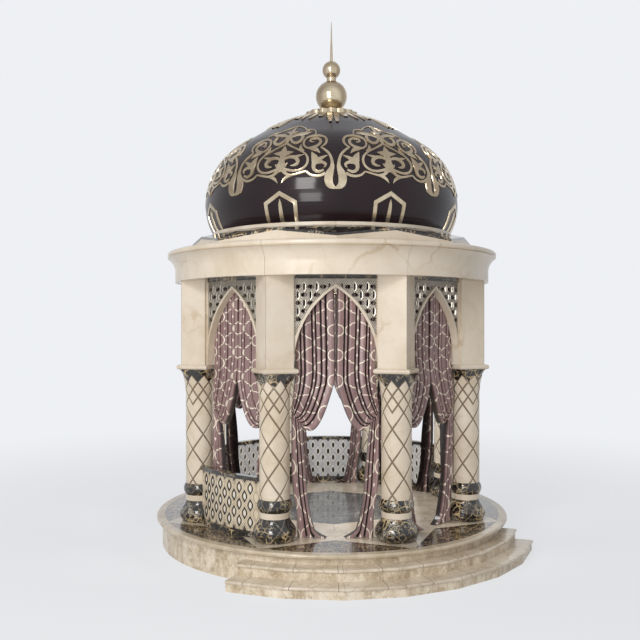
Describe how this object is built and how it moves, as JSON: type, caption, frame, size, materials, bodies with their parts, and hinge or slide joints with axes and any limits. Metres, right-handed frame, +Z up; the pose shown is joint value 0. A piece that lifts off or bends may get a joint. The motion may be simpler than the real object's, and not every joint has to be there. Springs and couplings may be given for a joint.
{
  "type": "garden rotunda",
  "caption": "Round stone garden rotunda: carved columns on a stepped plinth, pointed arches with lattice screens and curtains, pierced balustrades, cornice and ornamented dome.",
  "frame": {"origin": "on the rotunda's vertical axis, at ground level, in the middle of the plinth's underside", "axes": "+Z up; -Y towards the middle of the steps; +X to the right of someone who looks in over the steps; the column in the middle of the steps stands on -Y"},
  "size_m": [5.4674, 5.8312, 8.1875],
  "materials": {
    "travertine": "honed veined travertine",
    "pale_marble": "polished cream marble",
    "grey_marble": "polished dark grey marble",
    "brown_marble": "polished dark brown marble with gold veins",
    "dark_marble": "polished near-black marble with pale and gold veins",
    "cream_marble": "honed cream marble",
    "carved_stone": "carved beige stone",
    "screen_metal": "satin bronze-grey metal",
    "gold_metal": "polished champagne gold",
    "dome_enamel": "glossy dark aubergine enamel",
    "curtain_fabric": "mauve satin with a pale gold trellis"
  },
  "bodies": {
    "root": {"plinth_drum": "travertine", "floor_slab": "travertine", "floor_star": "pale_marble", "floor_centre": "grey_marble", "floor_border": "brown_marble", "lower_step": "travertine", "lower_tread": "travertine", "upper_step": "travertine", "upper_tread": "travertine", "column_bases": "dark_marble", "base_collars": "cream_marble", "base_rings": "dark_marble", "column_shafts": "cream_marble", "capitals": "dark_marble", "abacus_slabs": "cream_marble", "attic_piers": "cream_marble", "arch_frames": "cream_marble", "lattice_screen_1": "screen_metal", "lattice_screen_2": "screen_metal", "lattice_screen_3": "screen_metal", "lattice_screen_4": "screen_metal", "lattice_screen_5": "screen_metal", "lattice_screen_6": "screen_metal", "lattice_screen_7": "screen_metal", "lattice_screen_8": "screen_metal", "base_rails": "dark_marble", "handrails": "dark_marble", "balustrade_2": "carved_stone", "balustrade_3": "carved_stone", "balustrade_4": "carved_stone", "balustrade_5": "carved_stone", "balustrade_6": "carved_stone", "balustrade_7": "carved_stone", "curtain_rails": "gold_metal", "curtains_1": "curtain_fabric", "curtains_2": "curtain_fabric", "curtains_3": "curtain_fabric", "curtains_4": "curtain_fabric", "curtains_5": "curtain_fabric", "curtains_6": "curtain_fabric", "curtains_7": "curtain_fabric", "curtains_8": "curtain_fabric", "cornice": "cream_marble", "soffit_boards": "dark_marble", "roof_gables": "cream_marble", "roof_slabs": "dark_marble", "dome_ring": "cream_marble", "dome": "dome_enamel", "finial_disc": "gold_metal", "finial_balls": "gold_metal", "finial_spire": "gold_metal"}
  },
  "joints": []
}
